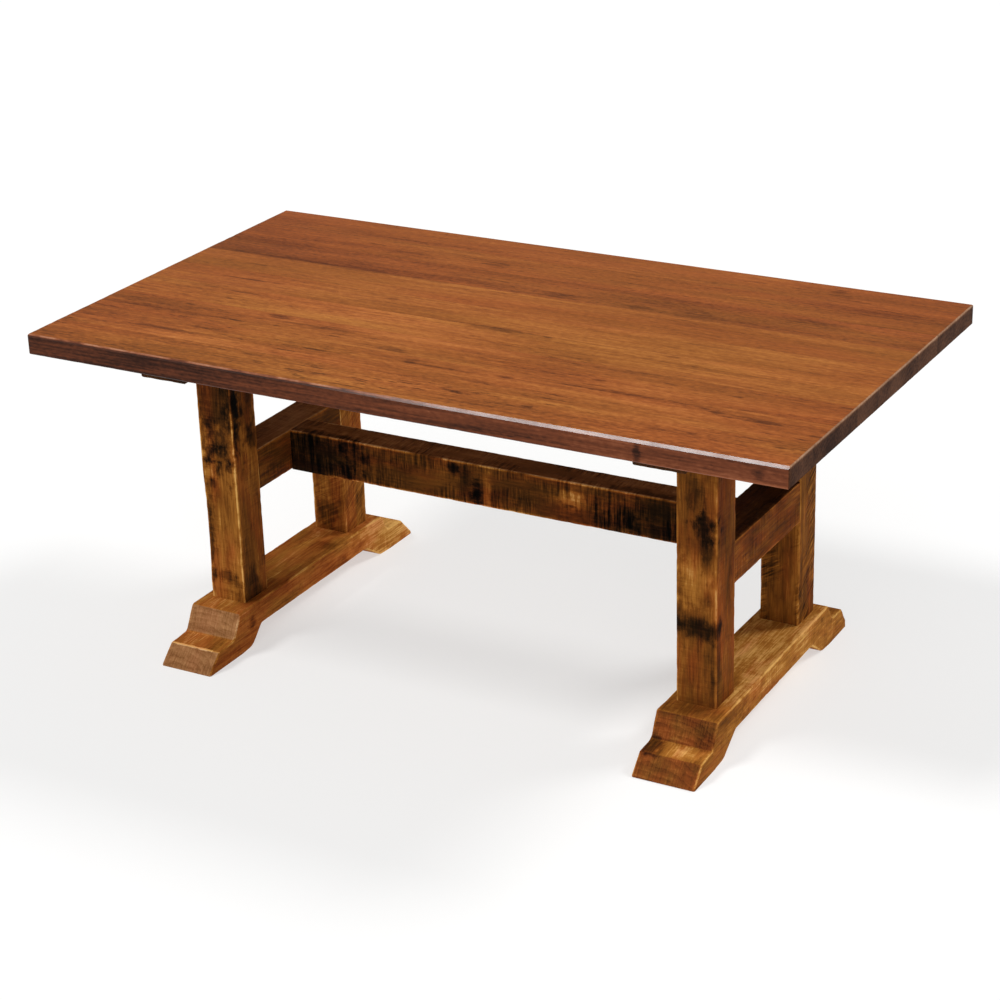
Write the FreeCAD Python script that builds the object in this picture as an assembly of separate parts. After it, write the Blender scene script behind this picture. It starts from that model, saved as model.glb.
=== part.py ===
"""Trestle dining table in reclaimed timber.

Millimetres, +Z up. The origin is on the floor in the middle of the table, +X runs along the
top's boards and +Y runs from the near long side to the far one. Left is -X and near is -Y.
"""

import FreeCAD
import Part
import math
import os

# Overall height, and the top: boards glued edge to edge, chamfered along both upper sides
# and only eased along the upper edges of its ends
table_height = 762.0
top_length = 1738.0
top_thickness = 45.0
board_width = 110.5
board_count = 9
top_corner_radius = 2.0
top_side_chamfer = 5.5
top_end_chamfer = 2.0
top_under_chamfer = 2.5

# Loose tongues hidden in the edge joints of the top, stopped short of both ends
tongue_thickness = 6.0
tongue_width = 24.0
tongue_end_stop = 70.0
tongue_clearance = 0.2

# Cleats: cross pieces under the top, one on each trestle
cleat_length = 850.0
cleat_width = 112.0
cleat_thickness = 40.0
cleat_edge_radius = 5.0

# Trestles: two legs on a foot, with a rail between the legs, set back from the ends of the top
trestle_setback = 294.0
leg_side = 89.0
leg_pitch = 424.0
leg_chamfer = 2.5
rail_width = 88.0
rail_height = 94.0
rail_top_level = 435.0
rail_chamfer = 2.5

# Stretcher from one rail to the other
stretcher_width = 77.0
stretcher_height = 96.0
stretcher_chamfer = 2.5

# Feet: the outline of one side, measured in from the tip and up from the floor
foot_length = 854.0
foot_width = 130.0
foot_height = 98.0
toe_height = 5.0
lower_riser_run = 40.0
lower_riser_height = 43.0
tread_run = 57.0
tread_rise = 3.0
upper_riser_run = 29.0
pad_length = 143.0
heel_run = 62.0
relief_height = 41.0
nose_radius = 4.0
cove_radius = 16.0
heel_radius = 60.0
relief_radius = 20.0
foot_chamfer = 2.5

# Tenons, and the slack of their mortises
leg_tenon_side = 42.0
foot_tenon_length = 30.0
cleat_tenon_recess = 1.0
rail_tenon_thickness = 30.0
rail_tenon_height = 68.0
rail_tenon_length = 46.0
stretcher_tenon_thickness = 26.0
stretcher_tenon_height = 66.0
stretcher_tenon_length = 40.0
mortise_side_clearance = 0.2
mortise_end_clearance = 0.8

# Lag screws from under the feet into the legs
lag_diameter = 10.0
lag_tip_length = 8.0
lag_head_width = 17.0
lag_head_height = 6.5
lag_washer_diameter = 30.0
lag_washer_thickness = 2.5
lag_counterbore_depth = 13.0
lag_depth_in_leg = 70.0

# Flanged screws from the cleats into the top, in slots that let the boards swell across their width
top_screw_diameter = 8.0
top_screw_tip_length = 6.0
top_screw_head_width = 13.0
top_screw_head_height = 5.5
top_flange_diameter = 22.0
top_flange_thickness = 2.0
top_screw_depth_in_board = 30.0
top_slot_travel = 8.0

# Places of those screws across the top, in board widths from its middle
top_screw_place_shares = (-3, -1, 1, 3)

# Slack round every screw and washer, and how far cuts run past the faces they open
screw_clearance = 0.3
cut_overrun = 5.0

# Corners of a screw's head, and how closely an edge has to lie on a plane to count as on it
head_corners = 6
tolerance_share = 1e-6

# Places that follow from the sizes above
top_width = board_width * board_count
top_underside = table_height - top_thickness
cleat_underside = top_underside - cleat_thickness
cleat_tenon_length = cleat_thickness - cleat_tenon_recess
trestle_pitch = top_length - 2 * trestle_setback
rail_length = leg_pitch - leg_side
rail_underside = rail_top_level - rail_height
stretcher_length = trestle_pitch - rail_width
stretcher_underside = rail_top_level - stretcher_height

along_x = FreeCAD.Vector(1, 0, 0)
along_y = FreeCAD.Vector(0, 1, 0)
along_z = FreeCAD.Vector(0, 0, 1)

trestle_sides = {"left": -trestle_pitch / 2, "right": trestle_pitch / 2}
leg_sides = {"near": -leg_pitch / 2, "far": leg_pitch / 2}


def centred_box(size_x, size_y, size_z, middle_x, middle_y, base_z):
    """A box that stands on base_z with its middle over (middle_x, middle_y)."""
    corner = FreeCAD.Vector(middle_x - size_x / 2, middle_y - size_y / 2, base_z)
    return Part.makeBox(size_x, size_y, size_z, corner)


def edges_along(shape, direction):
    """The straight edges of a shape that run along a direction."""
    found = []
    for edge in shape.Edges:
        straight = isinstance(edge.Curve, Part.Line)
        if straight and edge.Curve.Direction.cross(direction).Length < tolerance_share:
            found.append(edge)
    return found


def edges_at_level(shape, level):
    """The edges of a shape that lie wholly at one height."""
    tolerance = shape.BoundBox.ZLength * tolerance_share
    found = []
    for edge in shape.Edges:
        box = edge.BoundBox
        if abs(box.ZMin - level) < tolerance and abs(box.ZMax - level) < tolerance:
            found.append(edge)
    return found


def level_edges_along(shape, level, direction):
    """The straight edges of a shape at one height that run along a direction."""
    level_edges = edges_at_level(shape, level)
    return [edge for edge in edges_along(shape, direction) if any(map(edge.isSame, level_edges))]


def upright_cylinder(diameter, height, x, y, base_z):
    """A cylinder with an upright axis."""
    return Part.makeCylinder(diameter / 2, height, FreeCAD.Vector(x, y, base_z), along_z)


def upright_slot(diameter, travel, height, x, y, base_z):
    """A slot's solid: a cylinder that can travel along Y, half its travel each way."""
    near = upright_cylinder(diameter, height, x, y - travel / 2, base_z)
    far = upright_cylinder(diameter, height, x, y + travel / 2, base_z)
    middle = centred_box(diameter, travel, height, x, y, base_z)
    return near.fuse([middle, far]).removeSplitter()


def rounded_outline(corners):
    """A closed face in the YZ plane through (y, z, radius) corners, each rounded by its radius."""
    edges = []
    starts = []
    ends = []
    arcs = []
    count = len(corners)
    for index, (y, z, radius) in enumerate(corners):
        corner = FreeCAD.Vector(0, y, z)
        before = FreeCAD.Vector(0, *corners[index - 1][:2]) - corner
        after = FreeCAD.Vector(0, *corners[(index + 1) % count][:2]) - corner
        before.normalize()
        after.normalize()
        half_angle = before.getAngle(after) / 2
        setback = radius / math.tan(half_angle)
        bisector = before + after
        bisector.normalize()
        starts.append(corner + before * setback)
        ends.append(corner + after * setback)
        arcs.append(corner + bisector * (radius / math.sin(half_angle) - radius))
    for index, (y, z, radius) in enumerate(corners):
        if radius > 0:
            edges.append(Part.Arc(starts[index], arcs[index], ends[index]).toShape())
        edges.append(Part.makeLine(ends[index], starts[(index + 1) % count]))
    return Part.Face(Part.Wire(edges))


def leg_tenon(x, y, shoulder, end, slack_side, slack_end):
    """A leg's square tenon from its shoulder to its end, or with slack the mortise that takes it."""
    side = leg_tenon_side + 2 * slack_side
    height = abs(end - shoulder) + slack_end
    base = shoulder if end > shoulder else shoulder - height
    return centred_box(side, side, height, x, y, base)


def foot_tenon(x, y, slack_side=0, slack_end=0):
    """The tenon at a leg's lower end, or with slack its mortise in the foot."""
    return leg_tenon(x, y, foot_height, foot_height - foot_tenon_length, slack_side, slack_end)


def cleat_tenon(x, y, slack_side=0, slack_end=0):
    """The tenon at a leg's upper end, or with slack its mortise in the cleat."""
    return leg_tenon(x, y, cleat_underside, cleat_underside + cleat_tenon_length, slack_side, slack_end)


def foot_counterbore_level():
    """The level of the seat that the foot's lag screws pull against."""
    return relief_height + lag_counterbore_depth


def top_screw_places():
    """Where along Y the top's screws stand: on the middle of every screwed board."""
    return [board_width * share for share in top_screw_place_shares]


def make_top_blank():
    """The whole top as one glued panel, with its edges worked, before it is parted into boards."""
    blank = centred_box(top_length, top_width, top_thickness, 0, 0, top_underside)
    blank = blank.makeChamfer(top_side_chamfer, level_edges_along(blank, table_height, along_x))
    blank = blank.makeChamfer(top_end_chamfer, level_edges_along(blank, table_height, along_y))
    blank = blank.makeChamfer(top_under_chamfer, edges_at_level(blank, top_underside))
    return blank.makeFillet(top_corner_radius, edges_along(blank, along_z))


def tongue_box(joint_y, slack):
    """The loose tongue in the edge joint at joint_y, or with slack the groove that takes it."""
    length = top_length - 2 * tongue_end_stop + 2 * slack
    height = tongue_thickness + 2 * slack
    base = top_underside + (top_thickness - height) / 2
    return centred_box(length, tongue_width + 2 * slack, height, 0, joint_y, base)


def make_top_boards():
    """The top's boards from near to far, and the tongues between them."""
    blank = make_top_blank()
    joints = [board_width * number - top_width / 2 for number in range(1, board_count)]
    grooves = [tongue_box(joint, tongue_clearance) for joint in joints]
    pilots = []
    for x in trestle_sides.values():
        for y in top_screw_places():
            pilots.append(top_screw_hole(x, y))
    for number in range(board_count):
        middle = board_width * number + board_width / 2 - top_width / 2
        length = top_length + 2 * cut_overrun
        height = top_thickness + 2 * cut_overrun
        slab = centred_box(length, board_width, height, 0, middle, top_underside - cut_overrun)
        yield f"top_board_{number + 1}", blank.common(slab).cut(grooves + pilots)
    for number, joint in enumerate(joints):
        yield f"top_tongue_{number + 1}", tongue_box(joint, 0)


def top_screw_hole(x, y):
    """The pilot hole in a board above a cleat."""
    diameter = top_screw_diameter + 2 * screw_clearance
    depth = top_screw_depth_in_board + screw_clearance
    return upright_cylinder(diameter, depth + cut_overrun, x, y, top_underside - cut_overrun)


def make_cleat(x):
    """A cleat with rounded lower edges, through mortises for its legs and slots for its screws."""
    cleat = centred_box(cleat_width, cleat_length, cleat_thickness, x, 0, cleat_underside)
    cleat = cleat.makeFillet(cleat_edge_radius, edges_at_level(cleat, cleat_underside))
    cuts = []
    for y in leg_sides.values():
        cuts.append(cleat_tenon(x, y, mortise_side_clearance, cleat_tenon_recess + cut_overrun))
    for y in top_screw_places():
        width = top_screw_diameter + 2 * screw_clearance
        height = cleat_thickness + 2 * cut_overrun
        cuts.append(upright_slot(width, top_slot_travel, height, x, y, cleat_underside - cut_overrun))
    return cleat.cut(cuts)


def make_leg(x, y):
    """A square leg with eased corners, a tenon at each end and the mortise for its rail."""
    height = cleat_underside - foot_height
    leg = centred_box(leg_side, leg_side, height, x, y, foot_height)
    leg = leg.makeChamfer(leg_chamfer, edges_along(leg, along_z))
    leg = leg.fuse([foot_tenon(x, y), cleat_tenon(x, y)]).removeSplitter()
    bore = lag_diameter + 2 * screw_clearance
    depth = foot_tenon_length + lag_depth_in_leg + screw_clearance
    lag_bore = upright_cylinder(bore, depth, x, y, foot_height - foot_tenon_length)
    rail_mortise = rail_tenon_bar(x, mortise_side_clearance, mortise_end_clearance)
    return leg.cut([lag_bore, rail_mortise])


def rail_tenon_bar(x, slack_side, slack_end):
    """One bar through the rail and both its tenons, or with slack the mortises that take them."""
    length = rail_length + 2 * (rail_tenon_length + slack_end)
    thickness = rail_tenon_thickness + 2 * slack_side
    height = rail_tenon_height + 2 * slack_side
    base = rail_underside + (rail_height - height) / 2
    return centred_box(thickness, length, height, x, 0, base)


def stretcher_tenon_bar(slack_side, slack_end):
    """One bar through the stretcher and both its tenons, or with slack the mortises that take them."""
    length = stretcher_length + 2 * (stretcher_tenon_length + slack_end)
    thickness = stretcher_tenon_thickness + 2 * slack_side
    height = stretcher_tenon_height + 2 * slack_side
    base = stretcher_underside + (stretcher_height - height) / 2
    return centred_box(length, thickness, height, 0, 0, base)


def make_rail(x):
    """The rail between a trestle's legs, with a tenon at each end and the stretcher's mortise."""
    rail = centred_box(rail_width, rail_length, rail_height, x, 0, rail_underside)
    rail = rail.makeChamfer(rail_chamfer, edges_along(rail, along_y))
    rail = rail.fuse(rail_tenon_bar(x, 0, 0)).removeSplitter()
    return rail.cut(stretcher_tenon_bar(mortise_side_clearance, mortise_end_clearance))


def make_stretcher():
    """The stretcher, with a tenon at each end."""
    bar = centred_box(stretcher_length, stretcher_width, stretcher_height, 0, 0, stretcher_underside)
    bar = bar.makeChamfer(stretcher_chamfer, edges_along(bar, along_x))
    return bar.fuse(stretcher_tenon_bar(0, 0)).removeSplitter()


def foot_outline():
    """A foot seen from the side: stepped ends, and a relief between the two pads on the floor."""
    tip = foot_length / 2
    lower_nose = tip - lower_riser_run
    cove = lower_nose - tread_run
    upper_nose = cove - upper_riser_run
    heel = tip - pad_length
    far_end = [
        (heel - heel_run, relief_height, relief_radius),
        (heel, 0, heel_radius),
        (tip, 0, 0),
        (tip, toe_height, 0),
        (lower_nose, lower_riser_height, nose_radius),
        (cove, lower_riser_height + tread_rise, cove_radius),
        (upper_nose, foot_height, nose_radius),
    ]
    near_end = [(-y, z, radius) for y, z, radius in reversed(far_end)]
    return rounded_outline(far_end + near_end)


def make_foot(x):
    """A foot with eased sides, the mortises for its legs and the counterbored holes under them."""
    outline = foot_outline()
    outline.translate(FreeCAD.Vector(x - foot_width / 2, 0, 0))
    foot = outline.extrude(FreeCAD.Vector(foot_width, 0, 0))
    foot = foot.makeChamfer(foot_chamfer, foot_side_edges(foot, x))
    cuts = []
    for y in leg_sides.values():
        bore = lag_diameter + 2 * screw_clearance
        seat = lag_washer_diameter + 2 * screw_clearance
        cuts.append(foot_tenon(x, y, mortise_side_clearance, mortise_end_clearance))
        cuts.append(upright_cylinder(bore, foot_height, x, y, 0))
        cuts.append(upright_cylinder(seat, foot_counterbore_level(), x, y, 0))
    return foot.cut(cuts)


def foot_side_edges(foot, x):
    """The edges round both sides of a foot, apart from those that lie on the floor."""
    tolerance = foot_width * tolerance_share
    found = []
    for edge in foot.Edges:
        box = edge.BoundBox
        on_a_side = abs(abs(box.XMin - x) - foot_width / 2) < tolerance and box.XLength < tolerance
        if on_a_side and box.ZMax > tolerance:
            found.append(edge)
    return found


def make_screw(x, y, seat, tip, diameter, head_width, head_height, tip_length):
    """A hexagon-headed screw that points up: its head bears on seat and its point reaches tip."""
    shank_end = tip - tip_length
    shank = upright_cylinder(diameter, shank_end - seat, x, y, seat)
    point = Part.makeCone(diameter / 2, 0, tip_length, FreeCAD.Vector(x, y, shank_end), along_z)
    corner_radius = head_width / 2 / math.cos(math.pi / head_corners)
    corners = []
    for number in range(head_corners + 1):
        angle = 2 * math.pi * number / head_corners
        spoke = FreeCAD.Vector(math.cos(angle), math.sin(angle), 0)
        corners.append(FreeCAD.Vector(x, y, seat) + spoke * corner_radius)
    head = Part.Face(Part.makePolygon(corners)).extrude(along_z * -head_height)
    return shank.fuse([point, head]).removeSplitter()


def make_washer(x, y, base_z, diameter, bore, thickness):
    """A flat washer that lies on base_z."""
    disc = upright_cylinder(diameter, thickness, x, y, base_z)
    hole = upright_cylinder(bore, thickness + 2 * cut_overrun, x, y, base_z - cut_overrun)
    return disc.cut(hole)


def make_lag_set(x):
    """The lag screws up through one foot into its legs, and the washers under their heads."""
    head_seat = foot_counterbore_level() - lag_washer_thickness
    tip = foot_height + lag_depth_in_leg
    bore = lag_diameter + 2 * screw_clearance
    head = (lag_head_width, lag_head_height)
    screws = []
    washers = []
    for y in leg_sides.values():
        screws.append(make_screw(x, y, head_seat, tip, lag_diameter, *head, lag_tip_length))
        washers.append(make_washer(x, y, head_seat, lag_washer_diameter, bore, lag_washer_thickness))
    return Part.makeCompound(screws), Part.makeCompound(washers)


def make_top_screws(x):
    """The flanged screws that hold the top to one cleat."""
    head_seat = cleat_underside - top_flange_thickness
    tip = top_underside + top_screw_depth_in_board
    head = (top_screw_head_width, top_screw_head_height)
    screws = []
    for y in top_screw_places():
        screw = make_screw(x, y, head_seat, tip, top_screw_diameter, *head, top_screw_tip_length)
        flange = upright_cylinder(top_flange_diameter, top_flange_thickness, x, y, head_seat)
        screws.append(screw.fuse(flange).removeSplitter())
    return Part.makeCompound(screws)


def make_pieces():
    """Every piece of the table, by name."""
    pieces = dict(make_top_boards())
    for side, x in trestle_sides.items():
        pieces[f"cleat_{side}"] = make_cleat(x)
        pieces[f"foot_{side}"] = make_foot(x)
        pieces[f"rail_{side}"] = make_rail(x)
        for place, y in leg_sides.items():
            pieces[f"leg_{side}_{place}"] = make_leg(x, y)
        screws, washers = make_lag_set(x)
        pieces[f"foot_lag_screws_{side}"] = screws
        pieces[f"foot_washers_{side}"] = washers
        pieces[f"top_screws_{side}"] = make_top_screws(x)
    pieces["stretcher"] = make_stretcher()
    return pieces


def main():
    os.makedirs("parts", exist_ok=True)
    for name, shape in make_pieces().items():
        shape.exportStep(f"parts/{name}.step")
        box = shape.BoundBox
        size = f"{box.XLength:.1f} x {box.YLength:.1f} x {box.ZLength:.1f} mm"
        print(f"{name}: {len(shape.Solids)} solid(s), {size}")


main()
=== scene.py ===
# %% [markdown]
# # A trestle dining table in reclaimed timber
# The table was cut and joined in another program, so its pieces arrive here as a fixed frame. This
# lesson dresses that frame: each visible timber is modelled again with eased, slightly worn edges,
# and gets a finish of its own. Everything is in metres, +Z is up, and the floor is at zero.

# %% Load the frame
import math

import bmesh
import bpy
from mathutils import Euler, Matrix, Vector, noise


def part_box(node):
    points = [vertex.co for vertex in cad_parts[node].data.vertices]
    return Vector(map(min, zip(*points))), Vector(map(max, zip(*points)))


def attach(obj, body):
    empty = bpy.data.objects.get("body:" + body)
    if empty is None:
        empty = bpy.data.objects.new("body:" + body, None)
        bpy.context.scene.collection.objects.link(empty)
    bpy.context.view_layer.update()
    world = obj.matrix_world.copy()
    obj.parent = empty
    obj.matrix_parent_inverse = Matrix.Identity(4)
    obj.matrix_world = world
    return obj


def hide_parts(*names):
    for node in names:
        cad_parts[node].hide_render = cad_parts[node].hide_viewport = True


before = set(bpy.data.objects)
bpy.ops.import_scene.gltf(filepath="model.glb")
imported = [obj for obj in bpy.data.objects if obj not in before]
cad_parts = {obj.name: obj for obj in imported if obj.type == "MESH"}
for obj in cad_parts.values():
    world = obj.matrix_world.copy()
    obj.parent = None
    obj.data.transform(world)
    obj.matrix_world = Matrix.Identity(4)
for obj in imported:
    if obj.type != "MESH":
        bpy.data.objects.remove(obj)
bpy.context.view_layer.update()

print("pieces in the frame:", len(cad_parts))

# %% [markdown]
# ## The camera
# A product picture is easiest to match if its camera is found first. The lens, place and three turns
# below make the table's corners fall where the picture shows them. The camera's own axes are worked
# out from those turns: a camera looks along its -Z, with +X to the right and +Y up in the picture.

# %% Place the camera
camera_place = Vector((2.4613, -4.3408, 2.4850))
camera_yaw = math.radians(-29.7)
camera_pitch = math.radians(23.2)
camera_roll = math.radians(-1.8)
camera_lens = 89.70

ahead = Vector((math.sin(camera_yaw), math.cos(camera_yaw), 0)) * math.cos(camera_pitch)
ahead.z = -math.sin(camera_pitch)
level_right = Vector((math.cos(camera_yaw), -math.sin(camera_yaw), 0))
level_up = level_right.cross(ahead)
right = level_right * math.cos(camera_roll) + level_up * math.sin(camera_roll)
up = level_up * math.cos(camera_roll) - level_right * math.sin(camera_roll)

camera = bpy.data.objects.new("camera", bpy.data.cameras.new("camera"))
camera.data.lens = camera_lens
camera.matrix_world = Matrix.Translation(camera_place) @ Matrix((right, up, -ahead)).transposed().to_4x4()
bpy.context.scene.collection.objects.link(camera)
bpy.context.scene.camera = camera
print("camera looks along", [round(part, 3) for part in ahead])

# %% [markdown]
# ## Studio light
# The picture shows a softbox overhead, a little to the left and front, which draws the bright line
# along the chamfer of the near edge. A second light stands behind on the right. Suns are used instead
# of area lights because they light the pale floor evenly, and a wide sun has the soft shadow of a
# softbox. The world adds the white of the studio's walls.

# %% Light the studio
lights = {
    "overhead_softbox": (Vector((-0.40, -0.37, 0.84)), 1.45, 15),
    "rear_softbox": (Vector((0.46, 0.54, 0.71)), 1.5, 16),
    "front_fill": (Vector((0.25, -0.80, 0.55)), 0.75, 50),
}
for name, (towards, strength, width) in lights.items():
    lamp = bpy.data.lights.new(name, "SUN")
    lamp.energy = strength
    lamp.angle = math.radians(width)
    light = bpy.data.objects.new(name, lamp)
    light.rotation_euler = towards.to_track_quat("Z", "Y").to_euler()
    bpy.context.scene.collection.objects.link(light)

wall_light = 0.24
white = (1, 1, 1, 1)
world = bpy.data.worlds.new("studio")
world.use_nodes = True
world.node_tree.nodes["Background"].inputs["Color"].default_value = white
world.node_tree.nodes["Background"].inputs["Strength"].default_value = wall_light
bpy.context.scene.world = world
bpy.context.scene.view_settings.view_transform = "Standard"
print("lights:", ", ".join(lights))

# %% [markdown]
# ## The floor
# A plain pale sheet under the table, wide enough to reach the horizon. A lit sheet, like the glass of a
# product table, also glows a little by itself, which keeps the shadows pale.

# %% Lay the floor
floor_side = 1500
floor_grey = (0.44, 0.44, 0.435, 1)
floor_roughness = 0.9
floor_glow = 0.54
bm = bmesh.new()
bmesh.ops.create_grid(bm, x_segments=1, y_segments=1, size=floor_side / 2)
floor_mesh = bpy.data.meshes.new("floor")
bm.to_mesh(floor_mesh)
bm.free()
floor = bpy.data.objects.new("floor", floor_mesh)
bpy.context.scene.collection.objects.link(floor)
floor_paint = bpy.data.materials.new("pale_floor")
floor_paint.use_nodes = True
floor_inputs = floor_paint.node_tree.nodes["Principled BSDF"].inputs
floor_inputs["Base Color"].default_value = floor_grey
floor_inputs["Roughness"].default_value = floor_roughness
floor_inputs["Emission Color"].default_value = white
floor_inputs["Emission Strength"].default_value = floor_glow
floor.data.materials.append(floor_paint)
print("floor laid,", floor_side, "m wide")

# %% [markdown]
# ## Shaping a timber
# Nearly every timber of this table starts as a plain box. It could be left as a cube with a Bevel
# modifier, but old timber is never that even. So the box is made as a bmesh: its long edges are
# bevelled by hand, it is sliced into small faces, and then its points are moved a little by smooth
# noise. The faces of a bevel are remembered, because worn edges also get a lighter colour later.

# %% Make a box, ease its edges and slice it
ACROSS_X, ACROSS_Y, ACROSS_Z = range(3)


def unit(axis):
    """A step of one along an axis."""
    return Vector((axis == ACROSS_X, axis == ACROSS_Y, axis == ACROSS_Z))


def blank_timber():
    """An empty mesh, with room to remember which faces are eased edges."""
    bm = bmesh.new()
    bm.faces.layers.int.new("arris")
    return bm


def box_timber(low, high):
    """A box between two corners."""
    bm = blank_timber()
    stretch = Matrix.Diagonal((*(high - low), 1))
    bmesh.ops.create_cube(bm, size=1, matrix=Matrix.Translation((low + high) / 2) @ stretch)
    return bm


def edges_along(bm, axis):
    """The edges that run along one axis."""
    parallel_share = 0.999
    found = []
    for edge in bm.edges:
        run = edge.verts[1].co - edge.verts[0].co
        if abs(run[axis]) > parallel_share * run.length:
            found.append(edge)
    return found


def ease(bm, edges, width, segments=1, worn=True):
    """Bevels edges, and remembers whether the new faces are worn."""
    made = bmesh.ops.bevel(
        bm, geom=edges, offset=width, offset_type="OFFSET", segments=segments,
        profile=0.5, affect="EDGES", material=-1,
    )
    arris = bm.faces.layers.int["arris"]
    for face in made["faces"]:
        face[arris] = worn


def slice_across(bm, axis, step):
    """Cuts a timber square to one axis into slices about one step thick."""
    edges = edges_along(bm, axis)
    longest = max(edge.calc_length() for edge in edges)
    long_edges = [edge for edge in edges if edge.calc_length() > longest / 2]
    cuts = max(1, round(longest / step) - 1)
    bmesh.ops.subdivide_edges(bm, edges=long_edges, cuts=cuts, use_grid_fill=True)


# %% [markdown]
# ## Wear, tenons and hand-over
# Sawn timber is never quite flat, so its points are moved by smooth noise. The tenons are made as well,
# although the closed table hides them: a patch of an end is cut free by planes and pushed outwards. When
# a piece is done, it stands in for its node of the frame and rides on the table's only body.

# %% Wear a timber, push out its tenons and hand it over
def roughen(bm, wobble, chips, seed):
    """Moves points along their normals by smooth noise, and dents the eased edges."""
    arris = bm.faces.layers.int["arris"]
    floor_level = 0
    wobbles_per_metre = 9
    chips_per_metre = 55
    away = Vector((seed * 3.7, seed * 1.3, seed * 2.1))
    moves = {}
    for vert in bm.verts:
        shift = wobble * noise.noise(vert.co * wobbles_per_metre + away)
        if any(face[arris] for face in vert.link_faces):
            shift -= chips * max(0, noise.noise(vert.co * chips_per_metre + away))
        moves[vert] = vert.normal * shift
    for vert, move in moves.items():
        if vert.co.z > floor_level + wobble:
            vert.co += move


def push_patch(bm, low, high, move):
    """Cuts a patch of an end free between two corners and pushes it out as a tenon."""
    cut_tolerance = 1e-6
    same_way = 0.9
    way = move.normalized()
    for axis in range(3):
        if not way[axis]:
            for corner in (low, high):
                everything = bm.verts[:] + bm.edges[:] + bm.faces[:]
                bmesh.ops.bisect_plane(
                    bm, geom=everything, dist=cut_tolerance, plane_co=corner, plane_no=unit(axis),
                )
    patch = []
    for face in bm.faces:
        middle = face.calc_center_median()
        inside = all(low[axis] <= middle[axis] <= high[axis] for axis in range(3))
        if inside and abs(face.normal.dot(way)) > same_way:
            patch.append(face)
    made = bmesh.ops.extrude_face_region(bm, geom=patch)
    pushed = [item for item in made["geom"] if isinstance(item, bmesh.types.BMVert)]
    bmesh.ops.translate(bm, verts=pushed, vec=move)
    bmesh.ops.delete(bm, geom=patch, context="FACES")


def hand_over(bm, node):
    """Makes the finished mesh an object that stands in for a node of the frame."""
    crease = math.radians(28)
    arris = bm.faces.layers.int["arris"]
    wear = bm.verts.layers.float.new("wear")
    for vert in bm.verts:
        vert[wear] = any(face[arris] for face in vert.link_faces)
    bm.faces.layers.int.remove(arris)
    mesh = bpy.data.meshes.new(f"{node}_timber")
    bm.to_mesh(mesh)
    bm.free()
    mesh.shade_smooth()
    mesh.set_sharp_from_angle(angle=crease)
    piece = bpy.data.objects.new(f"{node}_timber", mesh)
    bpy.context.scene.collection.objects.link(piece)
    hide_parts(node)
    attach(piece, "root")
    return piece


# %% [markdown]
# ## The top's boards
# Nine boards are glued edge to edge and planed flush, so no groove shows between them. The two long
# sides of the whole top have a wide chamfer, which was rubbed glossy, and the sawn ends are only broken
# with a stroke of the plane. Each board stays a piece of its own, with its own colour and grain.

# %% Make the boards
board_count = 9
side_chamfer = 0.0055
end_ease = 0.002
under_chamfer = 0.0025
corner_ease = 0.0035
board_slices = (0.012, 0.010, 0.009)
board_wobble = 0.0002
board_chips = 0.0006
touching = 1e-5


def edges_on(bm, axis, places, level):
    """The edges at one level whose middle lies on one of some upright planes."""
    found = []
    for edge in bm.edges:
        middle = (edge.verts[0].co + edge.verts[1].co) / 2
        on_plane = any(abs(middle[axis] - place) < touching for place in places)
        if on_plane and abs(middle.z - level) < touching:
            found.append(edge)
    return found


boards = {}
for number in range(1, board_count + 1):
    low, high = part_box(f"top_board_{number}")
    bm = box_timber(low, high)
    ends = (low.x, high.x)
    outer_sides = {1: [low.y], board_count: [high.y]}.get(number, [])
    if outer_sides:
        ease(bm, edges_on(bm, ACROSS_Y, outer_sides, high.z), side_chamfer, worn=False)
    ease(bm, edges_on(bm, ACROSS_X, ends, high.z), end_ease)
    lower_rim = edges_on(bm, ACROSS_X, ends, low.z) + edges_on(bm, ACROSS_Y, outer_sides, low.z)
    ease(bm, lower_rim, under_chamfer)
    if outer_sides:
        upright = edges_along(bm, ACROSS_Z)
        corners = [edge for edge in upright if abs(edge.verts[0].co.y - outer_sides[0]) < touching]
        ease(bm, corners, corner_ease, segments=3, worn=False)
    for axis, step in enumerate(board_slices):
        slice_across(bm, axis, step)
    roughen(bm, board_wobble, board_chips, seed=0.0)
    boards[number] = hand_over(bm, f"top_board_{number}")
print("boards made:", len(boards))

# %% [markdown]
# ## The legs
# Legs are straight timbers from a frame saw. Their long edges are eased by a couple of millimetres, and
# time has dented them; one edge of the near left leg lacks a sliver that was bark. Only the length
# between the shoulders shows, so the box is cut back from the frame's node to what it meets, and the
# tenons are pushed out again from its ends. The rails and the stretcher will need the same steps, so
# these are functions that take any axis.

# %% Write the steps of a straight timber
timber_ease = 0.0025
timber_slices = 0.007
timber_wobble = 0.0003
timber_chips = 0.0012


def straight_timber(low, high, axis, seed):
    """A sawn timber along one axis, eased and worn along its four long edges."""
    bm = box_timber(low, high)
    ease(bm, edges_along(bm, axis), timber_ease, segments=2)
    for each in range(3):
        slice_across(bm, each, timber_slices)
    roughen(bm, timber_wobble, timber_chips, seed)
    return bm


def add_tenons(bm, low, high, axis, tenon, tips):
    """Pushes a tenon out of both ends of a timber, each as far as its tip."""
    half = tenon / 2 + unit(axis) * timber_ease
    for shoulder, tip in zip((low[axis], high[axis]), tips):
        place = (low + high) / 2
        place[axis] = shoulder
        push_patch(bm, place - half, place + half, unit(axis) * (tip - shoulder))


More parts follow.
